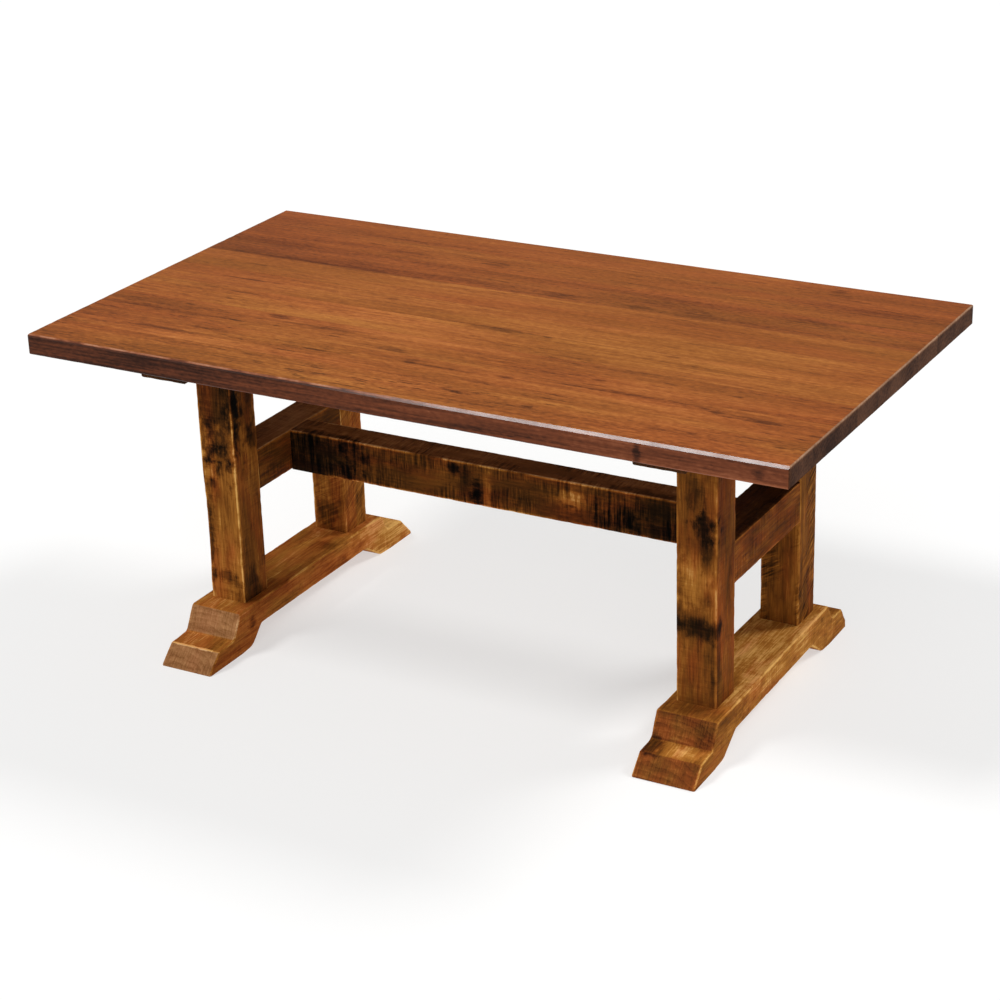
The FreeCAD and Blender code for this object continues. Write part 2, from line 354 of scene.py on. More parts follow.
def wane(bm, corner, bottom, top, depth):
    """Lets an upright edge fall back between two levels, where bark and sapwood once were."""
    spread = 0.020
    wave = 18
    inwards = Vector((1, 1, 0)).normalized()
    for vert in bm.verts:
        gap = (vert.co - corner).to_2d().length
        level = (vert.co.z - bottom) / (top - bottom)
        if gap < spread and 0 < level < 1:
            ragged = 0.85 + 0.3 * noise.noise(vert.co * wave)
            vert.co += inwards * depth * (1 - gap / spread) * math.sin(math.pi * level) * ragged


# %% Make the legs
foot_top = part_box("foot_left")[1].z
cleat_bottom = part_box("cleat_left")[0].z
leg_tenon = Vector((0.042, 0.042, 0))
leg_nodes = [f"leg_{side}_{place}" for side in ("left", "right") for place in ("near", "far")]

legs = {}
for seed, node in enumerate(leg_nodes):
    low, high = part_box(node)
    tips = (low.z, high.z)
    low.z, high.z = foot_top, cleat_bottom
    bm = straight_timber(low, high, ACROSS_Z, seed + 1.0)
    if node == "leg_left_near":
        wane(bm, low, bottom=0.14, top=0.40, depth=0.0035)
    add_tenons(bm, low, high, ACROSS_Z, leg_tenon, tips)
    legs[node] = hand_over(bm, node)
print("legs made:", ", ".join(legs))

# %% [markdown]
# ## Rails and stretcher
# A rail joins the two legs of a trestle, and the stretcher joins the two rails. The frame's own meshes
# could stay, but their edges would look too clean beside the legs. So both are made as the legs are,
# along another axis, and end at the faces that they meet.

# %% Make the rails and the stretcher
rail_tenon = Vector((0.030, 0, 0.068))
stretcher_tenon = Vector((0, 0.026, 0.066))

rails = {}
for seed, side in enumerate(("left", "right")):
    node = f"rail_{side}"
    low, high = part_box(node)
    tips = (low.y, high.y)
    low.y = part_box(f"leg_{side}_near")[1].y
    high.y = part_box(f"leg_{side}_far")[0].y
    bm = straight_timber(low, high, ACROSS_Y, seed + 11.0)
    add_tenons(bm, low, high, ACROSS_Y, rail_tenon, tips)
    rails[node] = hand_over(bm, node)

low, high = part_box("stretcher")
tips = (low.x, high.x)
low.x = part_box("rail_left")[1].x
high.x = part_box("rail_right")[0].x
bm = straight_timber(low, high, ACROSS_X, seed=17.0)
add_tenons(bm, low, high, ACROSS_X, stretcher_tenon, tips)
stretcher = hand_over(bm, "stretcher")
print("made:", ", ".join(rails), "and the stretcher")

# %% [markdown]
# ## Cleats
# A cleat lies between a trestle and the boards, and only its ends peep out from under the top. Its lower
# edges are rounder than a leg's, so their bevel gets three segments. The mortises in it can't be seen, so
# it stays a whole block.

# %% Make the cleats
cleat_ease = 0.005
cleat_wobble = 0.0005
cleat_chips = 0.001

cleats = {}
for seed, side in enumerate(("left", "right")):
    node = f"cleat_{side}"
    low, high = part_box(node)
    bm = box_timber(low, high)
    lower_edges = []
    for edge in bm.edges:
        if edge.verts[0].co.z + edge.verts[1].co.z < 2 * low.z + touching:
            lower_edges.append(edge)
    ease(bm, lower_edges, cleat_ease, segments=3)
    for each in range(3):
        slice_across(bm, each, timber_slices)
    roughen(bm, cleat_wobble, cleat_chips, seed + 21.0)
    cleats[node] = hand_over(bm, node)
print("made:", ", ".join(cleats))

# %% [markdown]
# ## The feet
# A foot is sawn from one thick timber: both ends step down in two sloping risers, and the underside is
# relieved so that the foot stands on two pads. The ends were sawn by hand, so no two are alike, and the
# right foot is a little wider in front. The near and the far end are each given by their tip, noses, pad
# and heel. Each corner of the outline is rounded by a vertex bevel, and the face is extruded across.

# %% Draw a foot's outline
tread_rise = 0.003
upper_riser_run = 0.029
relief_height = 0.041
relief_radius = 0.012
heel_radius = 0.030
lower_nose_radius = 0.004
cove_radius = 0.014
upper_nose_radius = 0.008


def foot_corners(height, tip, toe, lower_nose, nose_height, upper_nose, pad, heel_run):
    """One end of a foot's outline as (y, z, radius), from the relief to the upper nose."""
    cove = upper_nose + upper_riser_run
    heel = tip - pad
    return [
        (heel - heel_run, relief_height, relief_radius),
        (heel, 0, heel_radius),
        (tip, 0, 0),
        (tip, toe, 0),
        (lower_nose, nose_height, lower_nose_radius),
        (cove, nose_height + tread_rise, cove_radius),
        (upper_nose, height, upper_nose_radius),
    ]


# %% Saw a foot from its outline
foot_ease = 0.0025
foot_slices = 0.008
foot_wobble = 0.0004
foot_chips = 0.0012


def foot_timber(low, high, ends, taper, seed):
    """A foot's outline with rounded corners, extruded across, a little wider in front, and worn."""
    bm = blank_timber()
    near_end, far_end = [foot_corners(high.z, **end) for end in ends]
    corners = far_end + [(-y, z, radius) for y, z, radius in reversed(near_end)]
    verts = [bm.verts.new((low.x, y, z)) for y, z, radius in corners]
    bm.faces.new(verts)
    setbacks = []
    for index, (y, z, radius) in enumerate(corners):
        before = verts[index - 1].co - verts[index].co
        after = verts[(index + 1) % len(corners)].co - verts[index].co
        setbacks.append(radius / math.tan(before.angle(after) / 2))
    for vert, setback in zip(verts, setbacks):
        if setback:
            bmesh.ops.bevel(
                bm, geom=[vert], offset=setback, offset_type="OFFSET", segments=5,
                profile=0.5, affect="VERTICES", material=-1,
            )
    made = bmesh.ops.extrude_face_region(bm, geom=bm.faces[:])
    far_side = [item for item in made["geom"] if isinstance(item, bmesh.types.BMVert)]
    bmesh.ops.translate(bm, verts=far_side, vec=(high.x - low.x, 0, 0))
    bmesh.ops.recalc_face_normals(bm, faces=bm.faces[:])
    side_edges = []
    for edge in bm.edges:
        across = abs(edge.verts[0].co.x - edge.verts[1].co.x)
        if across < touching and edge.verts[0].co.z + edge.verts[1].co.z > touching:
            side_edges.append(edge)
    ease(bm, side_edges, foot_ease)
    for axis in range(3):
        place = low.copy()
        while place[axis] < high[axis] - foot_slices:
            place[axis] += foot_slices
            everything = bm.verts[:] + bm.edges[:] + bm.faces[:]
            bmesh.ops.bisect_plane(
                bm, geom=everything, dist=touching, plane_co=place, plane_no=unit(axis),
            )
    for vert in bm.verts:
        across = (vert.co.x - low.x) / (high.x - low.x)
        forward = (high.y - vert.co.y) / (high.y - low.y)
        vert.co.x += taper * across * forward
    roughen(bm, foot_wobble, foot_chips, seed)
    return bm


# %% Make the feet
foot_ends = {
    "foot_left": [
        dict(tip=0.434, toe=0.005, lower_nose=0.394, nose_height=0.041, upper_nose=0.308,
             pad=0.165, heel_run=0.042),
        dict(tip=0.423, toe=0.005, lower_nose=0.380, nose_height=0.050, upper_nose=0.289,
             pad=0.143, heel_run=0.062),
    ],
    "foot_right": [
        dict(tip=0.424, toe=0.005, lower_nose=0.386, nose_height=0.042, upper_nose=0.307,
             pad=0.143, heel_run=0.062),
        dict(tip=0.398, toe=0.016, lower_nose=0.373, nose_height=0.053, upper_nose=0.288,
             pad=0.140, heel_run=0.060),
    ],
}
foot_taper = {"foot_left": 0.0, "foot_right": 0.009}

feet = {}
for seed, side in enumerate(("left", "right")):
    node = f"foot_{side}"
    bm = foot_timber(*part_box(node), foot_ends[node], foot_taper[node], seed + 31.0)
    feet[node] = hand_over(bm, node)
print("feet made:", {name: len(piece.data.polygons) for name, piece in feet.items()})

# %% [markdown]
# ## Shader sums as Python
# A wood finish needs many small sums on numbers that change over the surface. Written as nodes they
# are hard to read, so one class wraps a socket and lets Python's own operators add the Math nodes.
# Its one method for other nodes sets a node's settings first and then fills its sockets.

# %% Wrap sockets
class Wire:
    """A socket in a material. Sums of wires add Math nodes."""

    def __init__(self, tree, socket):
        self.tree = tree
        self.socket = socket

    def make(self, kind, settings, sockets, output=0):
        """Adds any node: first its settings, then the values or wires of its sockets."""
        node = self.tree.nodes.new(kind)
        for name, value in settings.items():
            if name == "stops":
                fill_ramp(node.color_ramp, value)
            else:
                setattr(node, name, value)
        for name, value in sockets.items():
            if isinstance(value, Wire):
                self.tree.links.new(value.socket, node.inputs[name])
            else:
                node.inputs[name].default_value = value
        return Wire(self.tree, node.outputs[output])

    def math(self, operation, first, second):
        """Adds a Math node on two numbers or wires."""
        return self.make("ShaderNodeMath", {"operation": operation}, {0: first, 1: second})

    def __add__(self, other):
        return self.math("ADD", self, other)

    def __radd__(self, other):
        return self.math("ADD", other, self)

    def __sub__(self, other):
        return self.math("SUBTRACT", self, other)

    def __rsub__(self, other):
        return self.math("SUBTRACT", other, self)

    def __mul__(self, other):
        return self.math("MULTIPLY", self, other)

    def __rmul__(self, other):
        return self.math("MULTIPLY", other, self)

    def __truediv__(self, other):
        return self.math("DIVIDE", self, other)

    def __pow__(self, other):
        return self.math("POWER", self, other)


def fill_ramp(ramp, stops):
    """Gives a colour ramp its stops, each a place and a colour."""
    for place, colour in stops[len(ramp.elements):]:
        ramp.elements.new(place)
    for element, (place, colour) in zip(ramp.elements, stops):
        element.position = place
        element.color = colour


def screen_colour(red, green, blue):
    """A colour as it is read from a screen, from 0 to 255, in the linear light that shaders use."""
    linear = []
    for part in (red, green, blue):
        share = part / 255
        linear.append(share / 12.92 if share < 0.04045 else ((share + 0.055) / 1.055) ** 2.4)
    return (*linear, 1)


def screen_ramp(*stops):
    """Stops for a colour ramp, each a place and a red, green and blue as read from a screen."""
    return [(place, screen_colour(*colour)) for place, *colour in stops]


def tint(shade, stops):
    """Turns a number from 0 to 1 into the colours of a ramp."""
    return shade.make("ShaderNodeValToRGB", {"stops": stops}, {"Fac": shade})


# %% [markdown]
# ## Patterns that every timber shares
# Grain is noise drawn out along the timber, saw marks are noise drawn out across it, and a stain is a
# soft, ragged ball around a place on the table. Each pattern is a number about zero that makes the wood
# lighter or darker, so a finish is one sum, and a colour ramp turns that sum into wood.

# %% Write the patterns
GRAIN_TURNS = {
    ACROSS_X: Euler((0, 0, 0)),
    ACROSS_Y: Euler((0, 0, math.pi / 2)),
    ACROSS_Z: Euler((0, -math.pi / 2, 0)),
}
NOISE_SPREAD = 0.083


def along_grain(where, axis, middle):
    """Coordinates whose X runs along the grain, through the middle of a timber."""
    sockets = {"Vector": where, "Location": middle, "Rotation": GRAIN_TURNS[axis]}
    return where.make("ShaderNodeMapping", {"vector_type": "TEXTURE"}, sockets)


def mottle(grain, along, across, seed, detail=3.0, roughness=0.55, upright=None):
    """Smooth noise about zero with a spread of one: so many waves a metre along and across the grain."""
    scale = (along, across, upright or across)
    sockets = {"Vector": grain, "Location": (seed, seed * 2, seed * 3), "Scale": scale}
    placed = grain.make("ShaderNodeMapping", {}, sockets)
    sockets = {"Vector": placed, "Scale": 1.0, "Detail": detail, "Roughness": roughness}
    return (grain.make("ShaderNodeTexNoise", {}, sockets) - 0.5) / NOISE_SPREAD


def ease_in(value, low, high):
    """0 below low, 1 above high, and smooth between them."""
    sockets = {"Value": value, "From Min": low, "From Max": high}
    return value.make("ShaderNodeMapRange", {"interpolation_type": "SMOOTHSTEP"}, sockets)


def length_of(vector):
    """How far a point is from the origin of its coordinates."""
    return vector.make("ShaderNodeVectorMath", {"operation": "LENGTH"}, {0: vector}, "Value")


def growth_rings(grain, pith, spacing, seed):
    """Rings round a pith that runs along the timber, about zero, darker towards each ring's end."""
    taper = 26
    waver = 0.003
    mean_square = 0.33
    sockets = {"Vector": grain, "Location": pith, "Scale": (taper, 1, 1)}
    flat = grain.make("ShaderNodeMapping", {"vector_type": "TEXTURE"}, sockets)
    radius = length_of(flat) + mottle(grain, 1.6, 11, seed) * waver
    ring = grain.math("FRACT", radius / spacing, 0.0)
    return ring ** 2 - mean_square


def stain(where, ragged, place, size):
    """1 in the middle of a ragged spot at a place, fading to 0 outside it."""
    core, rim = 0.30, 1.50
    sockets = {"Vector": where, "Location": place, "Scale": size}
    local = where.make("ShaderNodeMapping", {"vector_type": "TEXTURE"}, sockets)
    return 1 - ease_in(length_of(local) + ragged, core, rim)


def facing(normal, way, from_share=0.78, to_share=0.92):
    """1 on the faces that look one way, 0 on the others."""
    settings = {"operation": "DOT_PRODUCT"}
    dot = normal.make("ShaderNodeVectorMath", settings, {0: normal, 1: way}, "Value")
    return ease_in(dot, from_share, to_share)


def facing_either(normal, one_way, other_way, from_share, to_share):
    """1 on the faces that look one of two ways, 0 on the others."""
    on_one = facing(normal, one_way, from_share, to_share)
    return on_one + facing(normal, other_way, from_share, to_share)


def blend(share, first, second):
    """A mix of two colours."""
    return share.make("ShaderNodeMix", {"data_type": "RGBA"}, {"Factor": share, 6: first, 7: second}, 2)


def new_finish(name):
    """A fresh material, and the wires that every finish starts from."""
    material = bpy.data.materials.new(name)
    material.use_nodes = True
    start = Wire(material.node_tree, None)
    where = start.make("ShaderNodeTexCoord", {}, {}, "Object")
    normal = start.make("ShaderNodeTexCoord", {}, {}, "Normal")
    return material, where, normal


def worn_edge(where):
    """1 on the worn edges of a piece, falling off quickly beside them."""
    falloff = 3
    return where.make("ShaderNodeAttribute", {"attribute_name": "wear"}, {}, "Fac") ** falloff


def finish_shader(material, colour, gloss, height, depth, shine):
    """Feeds a finish into its shader and returns the shader."""
    tree = material.node_tree
    shader = tree.nodes["Principled BSDF"]
    tree.links.new(colour.socket, shader.inputs["Base Color"])
    tree.links.new(gloss.socket, shader.inputs["Roughness"])
    relief = height.make("ShaderNodeBump", {}, {"Height": height, "Strength": 1.0, "Distance": depth})
    tree.links.new(relief.socket, shader.inputs["Normal"])
    shader.inputs["Specular IOR Level"].default_value = shine
    return shader


def give(material, pieces):
    """Makes a material the only one of some pieces."""
    for piece in pieces:
        piece.data.materials.clear()
        piece.data.materials.append(material)


def middle_of(node):
    """The middle of a node's box."""
    low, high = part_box(node)
    return (low + high) / 2


# %% [markdown]
# ## Painting the top
# The top is planed, stained a warm red-brown and lacquered. Each board has its own tone, read from the
# picture: the fourth is the lightest and the seventh the darkest. Soft clouds and long streaks drift
# along the boards, fine dark dashes come in groups, and knots and smudges lie where the picture shows
# them. The edges and ends took the stain darkest, and the underside only got a thin wash. The lacquer on
# the side chamfers is rubbed glossy, so they get a coat that the flat of the top lacks.

# %% Mix the colours of the top
GOLDEN_LACQUER = screen_ramp(
    (0.0, 16, 9, 5), (0.2, 62, 36, 15), (0.4, 108, 61, 25),
    (0.6, 152, 89, 37), (0.8, 184, 117, 53), (1.0, 222, 164, 96),
)
RED_LACQUER = screen_ramp(
    (0.0, 18, 8, 5), (0.2, 64, 33, 17), (0.4, 113, 57, 26),
    (0.6, 157, 84, 38), (0.8, 190, 112, 56), (1.0, 226, 160, 104),
)
SIDE_LACQUER = screen_ramp(
    (0.0, 16, 8, 6), (0.2, 58, 32, 22), (0.4, 108, 58, 36), (0.6, 150, 90, 60), (1.0, 222, 172, 140),
)
END_LACQUER = screen_ramp(
    (0.0, 14, 7, 4), (0.2, 50, 27, 15), (0.4, 96, 60, 38), (0.6, 132, 96, 72), (1.0, 214, 170, 136),
)
UNDER_WASH = screen_ramp((0.0, 20, 13, 8), (0.5, 108, 76, 49), (1.0, 188, 152, 110))
print("colour ramps of the top: golden, red, side, end and underside")

# %% [markdown]
# Every board has its own tone, share of dark dashes, contrast of figure, share of flecks and redness,
# from the near edge to the far one. A mark on the top is a place (x, y), a half size along both and a
# shift of the tone. A knot in the near edge has its place and size in x and z.

# %% List the boards' tones and marks
board_tones = (0.61, 0.615, 0.605, 0.645, 0.63, 0.625, 0.525, 0.57, 0.56)
board_dashes = (0.36, 0.26, 0.22, 0.15, 0.12, 0.12, 0.14, 0.13, 0.15)
board_contrast = (1.5, 1.25, 1.2, 1.25, 1.15, 1.0, 1.1, 1.1, 1.0)
board_flecks = (0.06, 0.05, 0.05, 0.04, 0.04, 0.04, 0.09, 0.09, 0.06)
board_redness = (0.5, 0.5, 0.55, 0.3, 0.35, 0.4, 0.7, 0.7, 0.65)
top_marks = [
    (-0.437, -0.178, 0.027, 0.012, -0.17), (-0.315, -0.197, 0.103, 0.014, -0.06),
    (0.031, -0.058, 0.087, 0.010, -0.14), (-0.554, 0.167, 0.245, 0.016, -0.05),
    (0.045, 0.187, 0.038, 0.012, -0.09), (0.237, 0.189, 0.034, 0.010, -0.09),
    (0.390, 0.193, 0.072, 0.015, -0.07), (-0.632, 0.007, 0.068, 0.003, -0.15),
    (-0.610, -0.121, 0.011, 0.006, -0.12), (-0.553, -0.150, 0.009, 0.005, -0.13),
    (-0.628, -0.345, 0.082, 0.009, -0.12), (-0.254, -0.323, 0.030, 0.006, -0.12),
    (-0.109, -0.260, 0.031, 0.012, -0.10), (-0.040, -0.298, 0.022, 0.012, -0.08),
    (-0.324, -0.437, 0.018, 0.006, -0.11), (-0.201, -0.451, 0.033, 0.008, -0.06),
    (-0.279, 0.020, 0.019, 0.005, -0.12), (0.147, -0.061, 0.009, 0.005, -0.12),
    (0.431, -0.061, 0.021, 0.006, -0.13), (0.036, -0.311, 0.086, 0.005, -0.11),
    (0.178, -0.303, 0.020, 0.006, -0.14), (0.416, -0.289, 0.134, 0.005, -0.13),
    (-0.189, 0.329, 0.030, 0.020, -0.07), (-0.415, 0.315, 0.057, 0.020, -0.04),
    (0.174, 0.308, 0.027, 0.020, 0.05), (0.640, -0.307, 0.016, 0.006, -0.15),
    (0.740, -0.315, 0.034, 0.008, -0.13), (0.642, -0.422, 0.012, 0.005, -0.13),
    (0.566, -0.429, 0.021, 0.005, -0.11), (0.640, -0.214, 0.013, 0.006, -0.08),
    (0.823, -0.419, 0.018, 0.006, -0.11), (0.584, 0.454, 0.019, 0.012, -0.10),
    (0.611, 0.248, 0.063, 0.012, -0.06), (0.497, -0.092, 0.011, 0.012, -0.06),
]
mark_strength = 1.35
edge_knots = [(0.563, 0.736, 0.007, 0.020, -0.22), (0.811, 0.738, 0.012, 0.010, -0.16)]
print("marks on the top:", len(top_marks), "and knots in its near edge:", len(edge_knots))

# %% [markdown]
# The finish of a board is one long sum. The flat of the top, its sides and its ends each have a shade
# and a ramp, and masks that look at the way a face points choose between them. The gloss of the side
# chamfers grows from left to right, as the picture shows, so their coat follows x. Where the coat fades,
# a thin painted highlight lies along the chamfer's upper edge, and towards both ends the top is painted
# darker and redder, a painted reflection of its fading sheen.

# %% Paint the boards
board_seed_step = 7.3
board_ring = 0.009
mark_depth = 0.02
broad_mask = (0.55, 0.68)
narrow_mask = (0.90, 0.97)
slope = math.sqrt(0.5)
rim_from, rim_to = 0.012, 0.006
# depths below the top between which the chamfer's painted highlight lies
lip_from, lip_to = 0.0036, 0.0020
near_sheen = (-0.24, 0.40)
far_sheen = (-1.6, 0.9)
board_relief = 0.00006
coat_roughness = 0.2


def paint_board(number, piece):
    """Stain and lacquer for one board of the top."""
    node = f"top_board_{number}"
    seed = number * board_seed_step
    low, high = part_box(node)
    material, where, normal = new_finish(f"lacquered_board_{number}")
    grain = along_grain(where, ACROSS_X, middle_of(node))
    cloud = mottle(grain, 1.9, 11, seed, 2)
    streak = mottle(grain, 1.8, 46, seed + 1)
    line = mottle(grain, 7, 220, seed + 2, 2)
    grouped = ease_in(mottle(grain, 2.4, 13, seed + 3, 2), -0.9, 1.3)
    dash = ease_in(mottle(grain, 15, 120, seed + 4, 4, 0.65), 0.75, 1.9) * grouped
    fleck = ease_in(mottle(grain, 42, 120, seed + 5, 2), 1.0, 2.6)
    grit = mottle(grain, 70, 170, seed + 14, 2)
    pith = (0.6 * math.sin(seed), 0.04 * math.cos(1.7 * seed), -0.07 + 0.03 * math.sin(2.3 * seed))
    ring = growth_rings(grain, pith, board_ring, seed + 6)
    ragged = mottle(grain, 22, 100, seed + 7, 4, 0.7) * 0.25
    end = facing_either(normal, (1, 0, 0), (-1, 0, 0), *broad_mask)
    edge = facing_either(normal, (0, -1, 0), (0, 1, 0), *broad_mask)
    chamfer = facing_either(normal, (0, -slope, slope), (0, slope, slope), *narrow_mask)
    wear = worn_edge(where)

    x = where.make("ShaderNodeSeparateXYZ", {}, {"Vector": where}, "X")
    z = where.make("ShaderNodeSeparateXYZ", {}, {"Vector": where}, "Z")
    upper_wear = wear * ease_in(z, high.z - rim_from, high.z - rim_to)
    sheen = ease_in(x, *(near_sheen if number == 1 else far_sheen))
    # painted highlight: a thin light line along the top of the chamfer, in patches, where its coat is weak
    highlight_patches = ease_in(mottle(grain, 12, 12, seed + 10), -2.4, 0.8)
    painted_arris_highlight = chamfer * ease_in(z, high.z - lip_from, high.z - lip_to) * highlight_patches * (1 - sheen)
    # painted reflection: the top is painted darker, and redder, towards both ends, where its sheen fades
    painted_sheen_falloff = ease_in(x, -0.30, -0.87) * 0.05 + ease_in(x, 0.45, 0.87) * 0.03
    figure = cloud * 0.026 + streak * 0.020 + line * 0.022 + grit * 0.024
    shade = board_tones[number - 1] + figure * board_contrast[number - 1]
    shade = shade - dash * board_dashes[number - 1] - fleck * board_flecks[number - 1]
    shade = shade - ring * 0.035 * grouped - painted_sheen_falloff
    for mark_x, mark_y, half_x, half_y, shift in top_marks:
        if low.y - half_y < mark_y < high.y + half_y:
            spot = stain(where, ragged, (mark_x, mark_y, high.z), (half_x, half_y, mark_depth))
            shade = shade + spot * (shift * mark_strength + line * 0.02)
    side_figure = streak * 0.035 + line * 0.03 - fleck * 0.06 + grit * 0.02
    # the side's shade carries the painted highlight along the chamfer's upper edge
    side_shade = 0.32 + x * 0.10 + side_figure + painted_arris_highlight * 0.44
    if number == 1:
        for mark_x, mark_z, half_x, half_z, shift in edge_knots:
            spot = stain(where, ragged, (mark_x, low.y, mark_z), (half_x, mark_depth, half_z))
            side_shade = side_shade + spot * shift
    # towards the right end the worn lower edge is painted lighter: wear, and a painted highlight of light
    # from the floor
    side_shade = side_shade + wear * ease_in(x, 0.45, 0.85) * 0.15
    end_shade = 0.285 + cloud * 0.04 - ring * 0.05 + grit * 0.02 + upper_wear * 0.42

    drift = mottle(grain, 1.5, 9, seed + 8, 2) * 0.16 + board_redness[number - 1] + painted_sheen_falloff * 2
    colour = blend(ease_in(drift, 0, 1), tint(shade, GOLDEN_LACQUER), tint(shade, RED_LACQUER))
    colour = blend(edge + chamfer, colour, tint(side_shade, SIDE_LACQUER))
    colour = blend(end, colour, tint(end_shade, END_LACQUER))
    colour = blend(facing(normal, (0, 0, -1)), colour, tint(shade, UNDER_WASH))
    gloss = 0.36 + line * 0.012 - cloud * 0.012 + end * 0.3
    height = line * 0.4 + streak * 0.3 - dash * 0.6
    shader = finish_shader(material, colour, gloss, height, board_relief, shine=0.05)
    coat = chamfer * sheen * (0.50 + mottle(grain, 14, 14, seed + 9, 2) * 0.06)
    material.node_tree.links.new(coat.socket, shader.inputs["Coat Weight"])
    shader.inputs["Coat Roughness"].default_value = coat_roughness
    give(material, [piece])


for number, piece in boards.items():
    paint_board(number, piece)
print("boards painted:", len(boards))

# %% [markdown]
# ## Painting the trestles
# These timbers were sawn, used and weathered before they were oiled. Dark knots, smoke and iron stains
# stay where the picture shows them, and the saw's strokes run across the grain. Sawn ends show wide arcs
# of growth rings and fine upright scratches instead. One function paints every timber from a sheet of
# values: its tone, how strong and how slanted its saw marks are, which faces are painted lighter or darker
# as painted light and shade, and where its stains lie; a few of these are painted shadow and painted light.

# %% Write the finish of sawn timber
GOLDEN_OIL = screen_ramp(
    (0.0, 9, 7, 5), (0.2, 38, 24, 12), (0.4, 80, 47, 19),
    (0.6, 126, 75, 28), (0.8, 172, 112, 46), (1.0, 228, 176, 98),
)
RED_OIL = screen_ramp(
    (0.0, 10, 7, 6), (0.2, 42, 21, 12), (0.4, 88, 43, 19),
    (0.6, 136, 69, 27), (0.8, 176, 102, 45), (1.0, 226, 160, 98),
)
# this ramp greys end grain, and also the faces that are greyed as painted light
GREY_END_AND_PAINTED_LIGHT = screen_ramp(
    (0.0, 14, 11, 9), (0.4, 88, 58, 36), (0.6, 136, 94, 60), (0.8, 174, 130, 92), (1.0, 218, 180, 138),
)
timber_pith, timber_ring = (0.1, 0.024, -0.085), 0.007
end_pith, end_ring = (0.1, 0.015, -0.16), 0.011
end_mask = (0.50, 0.68)
timber_relief = 0.00025


def paint_timber(
    node, piece, axis, seed, tone, redness=0.4, saw=1.0, slant=0.0, smoke=0.10, grainy=1.0, worn=0.25,
    end_shift=-0.05, end_red=0.0, end_grey=0.5, painted_face_light=(), stains_and_painted_light=(),
):
    """Oiled, sawn timber with the grain along an axis."""
    material, where, normal = new_finish(f"sawn_{node}")
    grain = along_grain(where, axis, middle_of(node))
    cloud = mottle(grain, 5, 13, seed, 4)
    streak = mottle(grain, 3, 60, seed + 1)
    fibre = mottle(grain, 22, 300, seed + 2, 2)
    tilted = grain.make("ShaderNodeMapping", {}, {"Vector": grain, "Rotation": (0, slant, slant)})
    stroke = mottle(tilted, 125, 8, seed + 3, 2, 0.7)
    tooth = mottle(tilted, 300, 34, seed + 4, 2)
    sawn = ease_in(mottle(grain, 7, 18, seed + 5, 2), -1.3, 0.9)
    soot = ease_in(mottle(grain, 10, 24, seed + 6, 5, 0.68), 0.4, 2.4)
    speck = ease_in(mottle(grain, 90, 190, seed + 7, 2), 1.0, 2.6)
    ring = growth_rings(grain, timber_pith, timber_ring, seed + 8)
    ragged = mottle(grain, 30, 48, seed + 9, 5, 0.68) * 0.26
    end = facing_either(normal, unit(axis), -unit(axis), *end_mask)

    groove = ease_in(stroke, 0.8, 2.2)
    saw_mark = (stroke * 0.026 + tooth * 0.020 - groove * 0.04) * sawn * saw
    figure = cloud * 0.048 + streak * 0.022 * grainy + saw_mark - soot * smoke - ring * 0.03
    grit = fibre * 0.034 * grainy - speck * 0.06
    shade = tone + grit * (1 - end * 0.55) + figure * (1 - end * 0.7)
    layer = mottle(grain, 14, 6, seed + 10, 3, 0.6, upright=80)
    arc = growth_rings(grain, end_pith, end_ring, seed + 15)
    comb = mottle(grain, 30, 330, seed + 11, 2, upright=32)
    shade = shade + end * (end_shift + layer * 0.036 - arc * 0.075 + comb * 0.026)
    drift = mottle(grain, 7, 22, seed + 13, 3) * 0.24 + redness + end * end_red
    greyed = end * end_grey
    # painted light and shade: faces that look one way are shifted lighter or darker, redder and greyer, as
    # the light falls on them
    for side, shift, redden, grey_share in painted_face_light:
        on_side = facing(normal, side)
        shade = shade + on_side * shift
        drift = drift + on_side * redden
        greyed = greyed + on_side * grey_share
    # real stains, and a few spots of painted shadow and painted light
    for place, size, shift in stains_and_painted_light:
        shade = shade + stain(where, ragged, place, size) * (shift + stroke * 0.014 * saw)
    rubbed = worn_edge(where) * ease_in(mottle(grain, 14, 40, seed + 12), -2.0, 0.6)
    shade = shade + rubbed * worn

    colour = blend(ease_in(drift, 0, 1), tint(shade, GOLDEN_OIL), tint(shade, RED_OIL))
    colour = blend(greyed, colour, tint(shade, GREY_END_AND_PAINTED_LIGHT))
    gloss = 0.6 + fibre * 0.03 - cloud * 0.02
    height = fibre * 0.35 + streak * 0.2 + (stroke * 0.5 + tooth * 0.3) * sawn * saw
    finish_shader(material, colour, gloss, height, timber_relief, shine=0.008)
    give(material, [piece])
